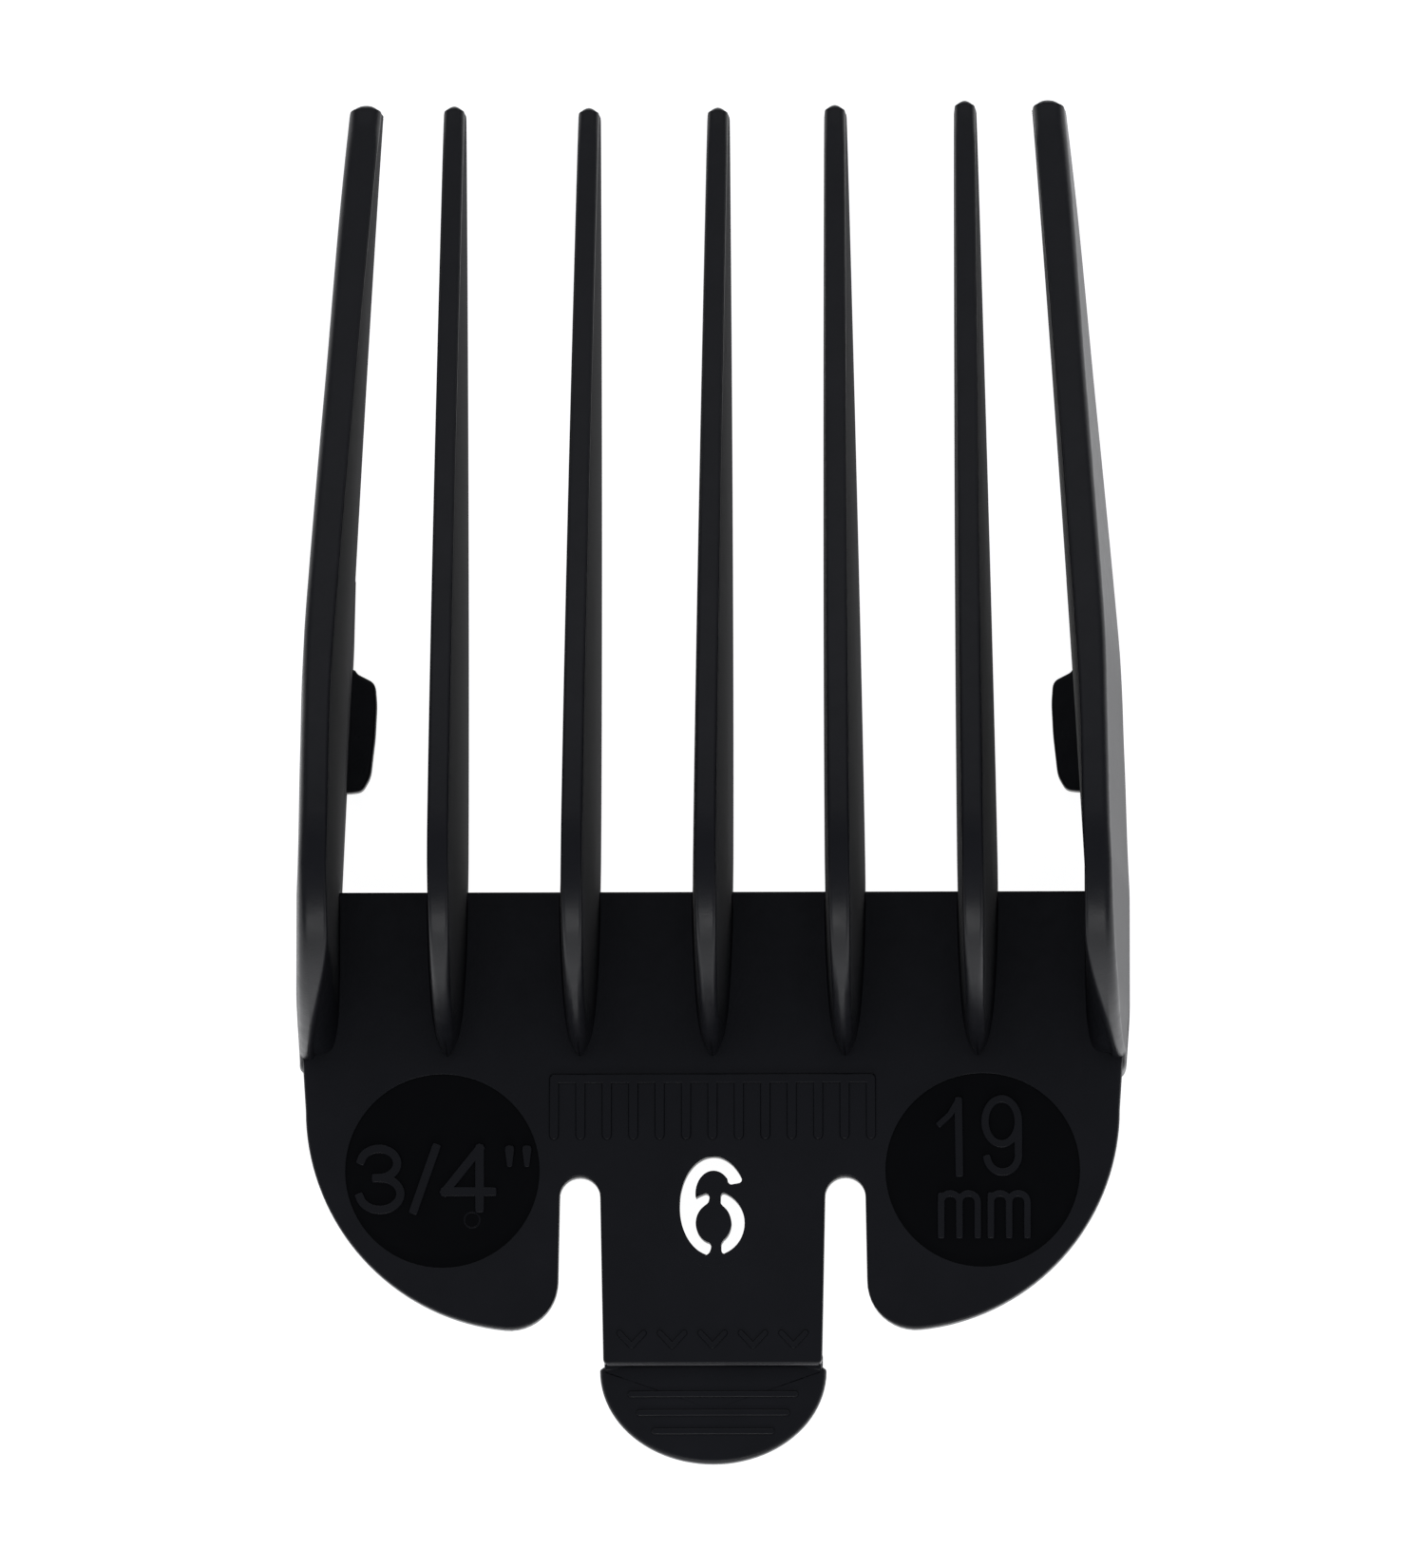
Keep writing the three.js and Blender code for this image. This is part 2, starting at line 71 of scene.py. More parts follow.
plate_low, plate_high = node_box("base_plate")
FRONT = plate_high.y
PLATE_TOP = plate_high.z
BLADE_HALF = plate_high.x
TAB_ROOT = plate_low.y + 0.15  # the strip meets the plate here, just ahead of the CAD's gap
lip_low, lip_high = node_box("thumb_lip")
latch_low, latch_high = node_box("latch_post")
rail_low, rail_high = node_box("right_blade_rail")
LUG_TOP = node_box("right_blade_lug")[1].z
disc_low, disc_high = node_box("metric_size_disc")
tooth_high = node_box("tooth_3")[1]
BOTTOM = rail_low.z  # what the comb stands on

MERGE = 0.0005  # points closer than this are one
SHARP_ANGLE = 38  # degrees between two faces, above which their edge stays sharp
SUPPORT = 0.06  # from a rounded edge to the ring that keeps the face beside it flat
SUNK = 0.05  # how far a raised shape starts below the face it stands on
PLATE_EDGE_R = 0.24
SEAT_EDGE_R = 0.12
CREST = tooth_high.z
PITCH = 8.2
INNER_TEETH = 5
RIDGE_TAIL = 10.2  # the skin edge meets the plate this far behind the front edge
WALL_END = 10.4  # the same for the side teeth
CREST_AT = 2  # the skin edge is highest this far ahead
TOOTH_BAND = 1.3
TOOTH_DRAFT = math.tan(math.radians(1.75))
SIDE_BAND = 1.7
SIDE_DRAFT = math.tan(math.radians(2.5))
INNER_DRAFT = math.tan(math.radians(1.5))
SLANT_BEHIND, SLANT_OUT = 4.4, 1.5  # the side teeth's inner faces slant out over the heels
# From the left side tooth to the right one: how far each tip stands to the right of its root,
# and how much further each tooth reaches ahead. The moulding's long teeth are not even.
TIP_LEAN = (-0.28, 0.4, 0.55, 0.35, -0.6, -0.75, -0.37)
TIP_REACH = (0.26, 0.2, 0.08, 0.08, 0.22, 0.46, 0.48)
REACH_FROM = 20.0
TIP_AHEAD = tooth_high.y - FRONT - TIP_REACH[3]
TIP_CORNER, TIP_CORNER_DEPTH = 0.36, 0.3  # how far behind the tip its corners start, and how deep
TAIL_ROUND = 0.8  # length of a tail's round end
FILLET = 0.35  # share of side_levels' flare that a tooth's fillet at the plate has
HEEL_ARC_X, HEEL_ARC_BEHIND, HEEL_ARC_R = 11.485, 13.52, 13.68
HEEL_FILLET_R = 3.0
SLOT_INNER, SLOT_OUTER, SLOT_TOP = 6.95, 9.45, 17.7
SLOT_MIDDLE = (SLOT_INNER + SLOT_OUTER) / 2
SLOT_R = SLOT_OUTER - SLOT_MIDDLE
SLOT_ENDS = [(side * SLOT_MIDDLE, FRONT - SLOT_TOP) for side in (-1, 1)]
TAB_TIP_HALF, TAB_END = 6.76, 29.3
LIP_CROWN = 0.22
LUG_BACK, LUG_FRONT, LUG_NOSE = 6.6, 14.3, 20.92
DISC_X = (disc_low.x + disc_high.x) / 2
DISC_Y = (disc_low.y + disc_high.y) / 2
DISC_R = 6.0
DISC_FACE = 1.05


def ahead(distance):
    return FRONT + distance


def behind(distance):
    return FRONT - distance


def smooth(t):
    t = min(max(t, 0.0), 1.0)
    return t * t * (3 - 2 * t)


# ---- Mesh building ----------------------------------------------------------------------------


class Builder:
    """Collects the points and faces of one piece, in millimetres."""

    def __init__(self):
        self.points = []
        self.faces = []

    def ring(self, points):
        start = len(self.points)
        self.points.extend(points)
        return list(range(start, start + len(points)))

    def skin(self, rings):
        """Quads between closed rings of equal length."""
        for a, b in zip(rings, rings[1:]):
            for j in range(len(a)):
                k = (j + 1) % len(a)
                self.faces.append((a[j], a[k], b[k], b[j]))

    def cap(self, loops, up):
        """Fills flat loops, the first one the outside and the others holes."""
        flat = [index for loop in loops for index in loop]
        outlines = [[Vector((*self.points[i][:2], 0)) for i in loop] for loop in loops]
        for triangle in tessellate_polygon(outlines):
            a, b, c = (Vector(self.points[flat[i]][:2]) for i in triangle)
            turn = (b - a).cross(c - a)
            ordered = triangle if (turn > 0) == up else reversed(triangle)
            self.faces.append(tuple(flat[i] for i in ordered))

    def fan(self, ring, centre):
        middle = self.ring([centre])[0]
        for j in range(len(ring)):
            self.faces.append((ring[j], ring[(j + 1) % len(ring)], middle))


def raw_mesh(name, builder, scale=MM):
    mesh = bpy.data.meshes.new(name)
    mesh.from_pydata([Vector(p) * scale for p in builder.points], [], builder.faces)
    return mesh


def united(name, builders):
    """One mesh, in millimetres, of closed shapes that overlap."""
    whole = Builder()
    for builder in builders[1:]:
        start = len(whole.points)
        whole.points += builder.points
        whole.faces += [tuple(i + start for i in face) for face in builder.faces]
    pair = []
    for part in (builders[0], whole):
        mesh = raw_mesh(name, part, 1)
        bm = bmesh.new()
        bm.from_mesh(mesh)
        bmesh.ops.remove_doubles(bm, verts=bm.verts, dist=MERGE)
        bmesh.ops.recalc_face_normals(bm, faces=bm.faces)
        bm.to_mesh(mesh)
        bm.free()
        pair.append(bpy.data.objects.new(name, mesh))
        bpy.context.scene.collection.objects.link(pair[-1])
    modifier = pair[0].modifiers.new("join", "BOOLEAN")
    modifier.operation, modifier.solver = "UNION", "EXACT"
    modifier.use_self = True
    modifier.object = pair[1]
    seen = pair[0].evaluated_get(bpy.context.evaluated_depsgraph_get())
    joined = Builder()
    mesh = seen.to_mesh()
    joined.points = [tuple(vertex.co) for vertex in mesh.vertices]
    joined.faces = [tuple(face.vertices) for face in mesh.polygons]
    seen.to_mesh_clear()
    for piece in pair:
        bpy.data.objects.remove(piece)
    return joined


def put_mesh(name, builder, body, replaced, material, cuts=()):
    """Makes a piece from a builder, cleans it, and hangs it on its body."""
    mesh = raw_mesh(name, builder)
    bm = bmesh.new()
    bm.from_mesh(mesh)
    bmesh.ops.remove_doubles(bm, verts=bm.verts, dist=MERGE * MM)
    bmesh.ops.dissolve_degenerate(bm, edges=bm.edges, dist=MERGE * MM)
    for y in cuts:
        everything = bm.verts[:] + bm.edges[:] + bm.faces[:]
        bmesh.ops.bisect_plane(bm, geom=everything, plane_co=(0, y * MM, 0), plane_no=(0, 1, 0))
    bmesh.ops.recalc_face_normals(bm, faces=bm.faces)
    for face in bm.faces:
        face.smooth = True
    bm.to_mesh(mesh)
    bm.free()
    mesh.set_sharp_from_angle(angle=math.radians(SHARP_ANGLE))
    piece = bpy.data.objects.new(name, mesh)
    bpy.context.scene.collection.objects.link(piece)
    mesh.materials.append(material)
    if body:
        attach(piece, body)
    if replaced:
        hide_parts(*replaced)
    return piece


def second_finish(piece, material, chosen):
    """Gives another material to the faces for which chosen(face) is true."""
    piece.data.materials.append(material)
    for face in piece.data.polygons:
        face.material_index = int(chosen(face))


def arc(x, y, rx, ry, start, end, steps):
    """Points of an elliptical arc, angles in degrees."""
    angles = [math.radians(start + (end - start) * i / steps) for i in range(steps + 1)]
    return [(x + rx * math.cos(a), y + ry * math.sin(a)) for a in angles]


def inset(outline, distances, seams=()):
    """Moves each point of a closed outline to the left of its path, by its own distance. The
    points in seams move straight ahead, along the joint that starts there."""
    moved = []
    count = len(outline)
    for i, (x, y) in enumerate(outline):
        before, here, after = (
            Vector(outline[i - 1]),
            Vector((x, y)),
            Vector(outline[(i + 1) % count]),
        )
        first, second = (here - before).normalized(), (after - here).normalized()
        normal = Vector((-first.y - second.y, first.x + second.x))
        if normal.length < 1e-6:
            normal = Vector((-first.y, first.x))
        normal.normalize()
        miter = 1 / max(normal.dot(Vector((-first.y, first.x))), 0.5)
        if (x, y) in seams:
            normal, miter = Vector((0, 1)), 1
        moved.append(tuple(here + normal * distances[i] * miter))
    return moved


def edge_rings(builder, outline, soft, z, radius, up, seams=(), steps=5):
    """The rings of a rounded edge, from the side wall to a flat face at z, and one just inside."""
    rings = []
    for k in range(steps + 1):
        turn = math.pi / 2 * k / steps
        cut = [radius * s * (1 - math.cos(turn)) for s in soft]
        drop = [radius * s * (1 - math.sin(turn)) for s in soft]
        points = inset(outline, cut, seams)
        rings.append([(x, y, z - d if up else z + d) for (x, y), d in zip(points, drop)])
    support = inset(outline, [radius * s + SUPPORT for s in soft], seams)
    rings.append([(x, y, z) for x, y in support])
    return [builder.ring(points) for points in rings]


def add_slab(builder, outlines, low, high, low_r, high_r, softness=None, pockets=(), seams=()):
    """A flat piece with rounded edges. The first outline runs counter-clockwise, holes clockwise,
    so that the solid is on the left. softness gives each point's share of the edge radius.
    A pocket is (outline, floor height, edge radius), cut into the top."""
    tops, bottoms = [], []
    for number, outline in enumerate(outlines):
        soft = softness[number] if softness and softness[number] else [1.0] * len(outline)
        lower = edge_rings(builder, outline, soft, low, low_r, False, seams)
        upper = edge_rings(builder, outline, soft, high, high_r, True, seams)
        builder.skin(lower[::-1] + upper)
        tops.append(upper[-1])
        bottoms.append(lower[-1])
    for outline, floor, radius in pockets:
        soft = [1.0] * len(outline)
        upper = edge_rings(builder, outline, soft, high, radius, up=True)
        foot = builder.ring([(x, y, floor) for x, y in outline])
        builder.skin([foot] + upper)
        builder.cap([foot], up=True)
        tops.append(upper[-1])
    builder.cap(tops, up=True)
    builder.cap(bottoms, up=False)


def add_stroke(builder, path, width, low, high, taper=1.0, radius=0.07, closed=False, bulge=1.0):
    """A raised line along a path, with a soft top edge and sloped sides. Its ends are round, or
    squarer where bulge is less than 1."""
    half, slope = width / 2, 0.05
    profile = [(half + slope, low), (half, high - radius)]
    for k in range(1, 4):
        turn = math.pi / 2 * k / 3
        back, drop = 1 - math.cos(turn), 1 - math.sin(turn)
        profile.append((half - radius * back, high - radius * drop))
    profile.append((half - radius - 0.04, high))
    points = [Vector(p) for p in path]
    count = len(points)
    normals = []
    for i in range(count):
        if closed:
            along = points[(i + 1) % count] - points[i - 1]
        else:
            along = points[min(i + 1, count - 1)] - points[max(i - 1, 0)]
        along.normalize()
        normals.append(Vector((-along.y, along.x)))
    share = [1 + (taper - 1) * i / max(count - 1, 1) for i in range(count)]
    rings = []
    if closed:
        left = [
            builder.ring([(*(p + n * d), z) for p, n in zip(points, normals)]) for d, z in profile
        ]
        right = [
            builder.ring([(*(p - n * d), z) for p, n in zip(points, normals)]) for d, z in profile
        ]
        builder.skin([right[0][::-1]] + [ring[::-1] for ring in left] + [right[-1][::-1]])
        builder.skin(right)
        return
    for d, z in profile:
        ring = []
        for p, n, s in zip(points, normals, share):
            ring.append((*(p + n * d * s), z))
        ring += cap_points(points[-1], normals[-1], d * share[-1], z, bulge)
        for p, n, s in zip(reversed(points), reversed(normals), reversed(share)):
            ring.append((*(p - n * d * s), z))
        ring += cap_points(points[0], -normals[0], d * share[0], z, bulge)
        rings.append(builder.ring(ring[::-1]))
    builder.skin(rings)
    for ring, up in ((rings[-1][::-1], True), (rings[0][::-1], False)):
        ends = (len(ring) - 2 * count) // 2
        left, right = ring[:count], ring[count + ends : 2 * count + ends][::-1]
        faces = [(left[i + 1], left[i], right[i], right[i + 1]) for i in range(count - 1)]
        faces.append(tuple(reversed([left[-1], *ring[count : count + ends], right[-1]])))
        faces.append(tuple(reversed([right[0], *ring[2 * count + ends :], left[0]])))
        builder.faces += faces if up else [tuple(reversed(face)) for face in faces]


def cap_points(centre, normal, distance, z, bulge, steps=6):
    """The inner points of a stroke's end, clockwise from its normal's side."""
    outward = Vector((normal.y, -normal.x))
    points = []
    for k in range(1, steps):
        turn = math.pi * k / steps
        sideways = math.copysign(abs(math.cos(turn)) ** bulge, math.cos(turn))
        arm = normal * sideways + outward * math.sin(turn) ** bulge
        points.append((*(centre + arm * distance), z))
    return points


# ---- Teeth ------------------------------------------------------------------------------------


def bezier(p0, p1, p2, p3, steps):
    points = []
    for i in range(steps + 1):
        t = i / steps
        u = 1 - t
        weights = (u**3, 3 * u * u * t, 3 * u * t * t, t**3)
        points.append(
            tuple(sum(w * p[k] for w, p in zip(weights, (p0, p1, p2, p3))) for k in range(2))
        )
    return points


def skin_line(tail, heel=()):
    """The skin edge in side view, from the plate to the tip and round it to the blade side, as
    (distance ahead, height) pairs."""
    start = (-tail, PLATE_TOP - 0.04)  # just inside the plate
    back = [*heel, *bezier(start, (-9.6, 11), (-5.5, CREST), (CREST_AT, CREST), 30)]
    run = bezier((CREST_AT, CREST), (17, 17.9), (34.5, 9.3), (TIP_AHEAD - 0.4, 2.4), 36)
    nose = arc(TIP_AHEAD - 0.62, 1.9, 0.62, 0.62, 50, 0, 5)
    chin = arc(TIP_AHEAD - 0.35, 0.4, 0.35, 0.38, 0, -90, 4)
    return back + run[1:] + nose + chin


def line_normals(line):
    """Unit normals of a line in side view, pointing out of the tooth."""
    normals = []
    for i in range(len(line)):
        a, b = Vector(line[max(i - 1, 0)]), Vector(line[min(i + 1, len(line) - 1)])
        along = (b - a).normalized()
        normals.append(Vector((-along.y, along.x)))
    return normals


def lean_at(number, distance):
    """How far tooth number, from 0 at the left side tooth, leans to the right there."""
    return TIP_LEAN[number] * max(distance, 0) / TIP_AHEAD


def tail_share(distance):
    return min(max(-distance / RIDGE_TAIL, 0), 1) ** 2


def tooth_rings(builder, line, shape, number, seat):
    """Skins a tooth from its skin line. shape(distance, top) gives, at a distance ahead, for its
    left and its right side: where the skin band ends, the side's outward slope, the radius of
    the rounded edge, and the share of the fillet at the plate. seat(distance) is the height that
    the sides reach down to."""
    columns = []
    for (distance, top), normal in zip(line, line_normals(line)):
        lean = lean_at(number, distance)
        column = []
        for sign, (edge, slope, radius, fillet) in zip((-1, 1), shape(distance, top)):
            crown = []
            for k in range(6, -1, -1):
                turn = math.pi / 2 * k / 6
                depth = radius * (1 - math.cos(turn))
                x = edge - sign * radius * (1 - math.sin(turn))
                crown.append((x, distance - normal.x * depth, top - normal.y * depth))
            x, y, z = crown[0]
            foot = min(seat(y), z)
            side = []
            # The fillet runs along the plate only, and fades out at the tooth's tail.
            share = smooth(-distance / 0.6) * smooth((distance + RIDGE_TAIL) / 2.4)
            for level, flare in side_levels(foot, z, fillet * share):
                side.append((x + sign * (slope * (z - level) + flare), y, level))
            half = side + crown
            column.append(half if sign < 0 else half[::-1])
        inner = column[0][-1][0] + SUPPORT, column[1][0][0] - SUPPORT
        middle = [(x, column[0][-1][1], column[0][-1][2]) for x in inner]
        whole = column[0] + middle + column[1]
        reach = TIP_REACH[number] * smooth((distance - REACH_FROM) / (TIP_AHEAD - REACH_FROM))
        columns.append(builder.ring([(x + lean, ahead(y) + reach, z) for x, y, z in whole]))
    builder.skin(columns)
    builder.faces.append(tuple(columns[0]))
    builder.faces.append(tuple(reversed(columns[-1])))


def side_levels(foot, top, fillet):
    """Heights down one side of a tooth, lowest first, each with how far it flares outwards."""
    room = min(max(top - PLATE_TOP, 0) / 0.9, 1)  # less where the tooth is low
    levels = [(foot, -0.14 * (1 - fillet)), (foot + min(0.14, (top - foot) * 0.2), 0.0)]
    for height, flare in ((-0.08, 0.34), (0.03, 0.2), (0.11, 0.11), (0.22, 0.04), (0.36, 0.0)):
        levels.append((PLATE_TOP + height * room, flare * room * fillet))
    last = PLATE_TOP + 0.36 * room
    levels += [(last + (top - last) * s, 0.0) for s in (0.3, 0.65, 0.9)]
    return [(min(max(level, foot), top), flare) for level, flare in levels]


def embedded(distance):
    """A tooth's sides end inside the plate behind its front edge, and at the blade side ahead."""
    return 0.5 if distance < -0.3 else 0.01


def tail_end(distance):
    """Draws a tooth's tail in to a round end on the plate."""
    past = max(-distance - RIDGE_TAIL + 0.75, 0) / TAIL_ROUND
    return math.sqrt(1 - past**2)


def tip_corner(distance):
    """How far each side of a tooth has drawn in round the corner of its tip."""
    past = min(max(distance - TIP_AHEAD + TIP_CORNER, 0) / TIP_CORNER, 1)
    return TIP_CORNER_DEPTH * (1 - math.sqrt(1 - past**2))


def inner_tooth(number, material):
    root = (number - (INNER_TEETH + 1) / 2) * PITCH

    def shape(distance, top):
        half = TOOTH_BAND / 2 * (1 - 0.22 * tail_share(distance))  # narrower at the tail
        half = half * tail_end(distance) - tip_corner(distance)
        round_tip = smooth((distance - TIP_AHEAD + 2.2) / 1.6)
        round_tail = smooth((-distance - 3) / 6)
        radius = 0.25 + 0.2 * max(round_tip, round_tail)  # rounder at both ends
        radius = min(radius, half - 0.02)
        return [(root + sign * half, TOOTH_DRAFT, radius, FILLET) for sign in (-1, 1)]

    builder = Builder()
    tooth_rings(builder, skin_line(RIDGE_TAIL), shape, number, embedded)
    put_mesh(f"comb_tooth_{number}", builder, "comb_body", [f"tooth_{number}"], material)


def inner_face(distance):
    """Half the clear width between the side teeth, which close in towards the tips."""
    distance = max(distance, 0)
    return BLADE_HALF - 0.05 * distance - 0.00022 * distance**2


def inner_lean(distance, height):
    """How far the inner face of a side tooth has leant outwards at a height above the seat. Beside
    the blade it has a quarter of its draft, and all of it from 13 mm ahead."""
    return (0.25 + 0.75 * smooth(distance / 13)) * height * INNER_DRAFT


def rear_taper(distance):
    """The walls' outer faces draw in by this much towards their rear ends."""
    return 0.24 * smooth((-distance - 6.5) / 5)


def wall_foot(distance, top):
    """How far out a wall's outer face is at the seat, where its skin edge is at top."""
    height = CREST if distance < CREST_AT else top
    # The skin band widens by 0.18 mm beside the lug and by 0.12 mm more towards the tip.
    band = SIDE_BAND + 0.18 * smooth((distance - 9) / 7) + 0.12 * smooth((distance - 30) / 14)
    flared = inner_lean(distance, height) + band + height * SIDE_DRAFT
    return inner_face(distance) + flared - rear_taper(distance)


def skin_height(distance):
    """The height of the skin edge at a distance ahead of the plate's front edge."""
    crown = [point for point in skin_line(WALL_END) if point[0] >= CREST_AT]
    for (a, high), (b, low) in zip(crown, crown[1:]):
        if a <= distance < b:
            return high + (low - high) * (distance - a) / (b - a)
    return CREST


def side_tooth(side, material, outer_material):
    number = INNER_TEETH + 1 if side > 0 else 0

    def shape(distance, top):
        share = tail_share(distance)
        inside = inner_face(distance)
        outside = wall_foot(distance, top) - top * SIDE_DRAFT
        slanted = min(max((-distance - SLANT_BEHIND) / (RIDGE_TAIL - SLANT_BEHIND), 0), 1) ** 1.5
        near = inside + inner_lean(distance, top) + SLANT_OUT * slanted + tip_corner(distance)
        outside -= tip_corner(distance)
        round_tip = smooth((distance - TIP_AHEAD + 2.6) / 1.8)
        inner_r = 0.25 + 0.4 * round_tip + 0.15 * share
        outer_r = 0.6 + 0.1 * round_tip + 0.1 * share
        fit = min(0.9 * (outside - near) / (inner_r + outer_r), 1)
        inner_r, outer_r = inner_r * fit, outer_r * fit
        inner = (side * near, (near - inside) / max(top, 1), inner_r, FILLET)
        outer = (side * outside, SIDE_DRAFT, outer_r, 0.0)
        return (inner, outer) if side > 0 else (outer, inner)

    builder = Builder()
    # The wall's rear end rounds down to the seat.
    heel = [(-11.2, 0.05), (-11.16, 0.55), (-10.98, 1.0), (-10.65, 1.22)]
    tooth_rings(builder, skin_line(WALL_END, heel), shape, number, lambda distance: 0.0)
    name = "right" if side > 0 else "left"
    wall = put_mesh(f"comb_wall_{name}", builder, "comb_body", [f"{name}_side_tooth"], material)
    second_finish(wall, outer_material, lambda face: face.normal.x * side > 0.9)


# ---- Plate ------------------------------------------------------------------------------------


def half_plate():
    """The right half of the plate's outline, clockwise from the middle of its front edge, as
    (x, y, softness) triples. Softness 0 is where it lies inside a wall or meets the tab."""
    arc_y = behind(HEEL_ARC_BEHIND)
    fillet_x = SLOT_OUTER + 0.1 + HEEL_FILLET_R
    reach = HEEL_ARC_R - HEEL_FILLET_R
    fillet_y = arc_y - math.sqrt(reach**2 - (fillet_x - HEEL_ARC_X) ** 2)
    meet = math.degrees(math.atan2(fillet_y - arc_y, fillet_x - HEEL_ARC_X))
    wall = BLADE_HALF + 0.6
    points = [(0.0, FRONT, 0.6), (wall, FRONT, 0.6), (wall, behind(8.8), 0.0)]
    points += [(24.6, behind(9.9), 0.0), (25.35, behind(10.3), 0.4), (25.33, behind(10.9), 1.0)]
    heel = arc(HEEL_ARC_X, arc_y, HEEL_ARC_R, HEEL_ARC_R, 0, meet, 34)
    heel += arc(fillet_x, fillet_y, HEEL_FILLET_R, HEEL_FILLET_R, meet, -180, 12)[1:]
    slot = arc(SLOT_MIDDLE, behind(SLOT_TOP + SLOT_R), SLOT_R, SLOT_R, 0, 90, 8)[:-1]
    points += [(x, y, 1.0) for x, y in [*heel, *slot, SLOT_ENDS[1]]]
    return points + [(SLOT_MIDDLE, TAB_ROOT, 0.0), (0.0, TAB_ROOT, 0.0)]


def plate(material):
    right = half_plate()
    whole = right + [(-x, y, s) for x, y, s in reversed(right[1:-1])]
    whole.reverse()
    outline = [(x, y) for x, y, _ in whole]
    softness = [s for _, _, s in whole]
    pockets = []
    for side in (-1, 1):
        ring = arc(side * DISC_X, DISC_Y, DISC_R, DISC_R, 360, 0, 72)[:-1]
        pockets.append((ring, DISC_FACE - 0.1, 0.04))
    builder = Builder()
    add_slab(
        builder,
        [outline],
        0,
        PLATE_TOP,
        SEAT_EDGE_R,
        PLATE_EDGE_R,
        [softness],
        pockets,
        SLOT_ENDS,
    )
    replaced = ["base_plate", "left_heel", "right_heel"]
    put_mesh("seat_plate", builder, "comb_body", replaced, material)


# ---- Size marks -------------------------------------------------------------------------------


def disc(name, side, replaced, material):
    """The polished face that the mould's size insert leaves in its shallow pocket."""
    builder = Builder()
    x, y = side * DISC_X, DISC_Y
    rim = arc(x, y, DISC_R + 0.03, DISC_R + 0.03, 0, 360, 72)[:-1]
    rings = [builder.ring([(px, py, z) for px, py in rim]) for z in (0.8, DISC_FACE)]
    builder.skin(rings)
    builder.cap([rings[1]], up=True)
    builder.cap([rings[0]], up=False)
    put_mesh(name, builder, "comb_body", replaced, material)


def stroke(path, width, low, high, **kind):
    builder = Builder()
    add_stroke(builder, path, width, low, high, **kind)
    return builder


def put_figures(name, side, paths, material):
    """Raised figures on a disc, level with the plate. Each path is (points, width, kind)."""
    shapes = []
    for path, width, kind in paths:
        moved = [(side * DISC_X + x, DISC_Y + y) for x, y in path]
        kind = {"bulge": 0.35, **kind}  # nearly square ends
        shapes.append(stroke(moved, width, DISC_FACE - SUNK, PLATE_TOP, **kind))
    put_mesh(name, united(name, shapes), "comb_body", None, material)


def inch_figures(material):
    width = 0.56
    upper = arc(-3.92, 0.49, 1.13, 0.91, 168, -82, 18) + [(-4.1, -0.42)]
    lower = [(-4.1, -0.42)] + arc(-3.86, -1.41, 1.27, 0.99, 86, -168, 20)
    lines = [upper, lower]
    lines += [[(-1.76, -2.4), (-0.41, 1.44)]]
    top, left = (2.3, 1.4), (0.15, -1.28)
    lines += [[(2.3, -2.3), top], [top, left], [left, (3.08, -1.28)]]
    paths = [(line, width, {}) for line in lines]
    paths += [([(x, 1.3), (x, 0.42)], 0.62, {"taper": 0.6, "bulge": 0.6}) for x in (4.15, 5.22)]
    put_figures("inch_figures", -1, paths, material)
    # A small ring below the figures, as an ejector or gate leaves.
    centre = (DISC_X * -1 + 1.83, DISC_Y - 3.02)
    ring = arc(*centre, 0.48, 0.48, 0, 360, 24)[:-1]
    low, high = DISC_FACE - SUNK, DISC_FACE + 0.025
    gate = stroke(ring, 0.1, low, high, radius=0.02, closed=True)
    put_mesh("inch_gate_ring", gate, "comb_body", None, material)


def metric_figures(material):
    width, unit_width = 0.5, 0.44
    bowl = arc(1.17, 3.02, 1.03, 1.4, 0, 360, 36)[:-1]
    tail = [(2.2, 3.1), (2.21, 2.0)] + arc(1.23, 0.92, 0.98, 1.05, 8, -168, 20)
    paths = [
        ([(-1.44, -0.18), (-1.5, 4.3)], width, {}),
        ([(-2.65, 2.88), (-2.05, 3.42), (-1.54, 4.25)], 0.42, {}),
        (bowl, width, {"closed": True}),
        (tail, width, {}),
    ]
    for first in (-2.57, 0.5):
        legs = [first + 1.13 * k for k in range(3)]
        paths += [([(x, -4.03), (x, -1.6)], unit_width, {}) for x in legs[:1]]
        for x in legs[1:]:
            hoop = arc(x - 0.565, -2.0, 0.565, 0.55, 176, 0, 12) + [(x, -4.03)]
            paths.append((hoop, unit_width, {}))
    put_figures("metric_figures", 1, paths, material)


def comb_mark(material):
    """A raised outline of a comb, one spine and a row of short teeth."""
    half, count, width = 9.8, 13, 0.56
    top, bottom = behind(11.6), behind(15.1)
    low, high = PLATE_TOP - SUNK, PLATE_TOP + 0.17
    shapes = [stroke([(-half, top), (half, top)], width, low, high)]
    for i in range(count):
        x = -half + 2 * half * i / (count - 1)
        shapes.append(stroke([(x, top), (x, bottom)], width, low, high))
    joined = united("plate_comb_mark", shapes)
    put_mesh("plate_comb_mark", joined, "comb_body", ["comb_mark"], material)


# ---- Release tab ------------------------------------------------------------------------------


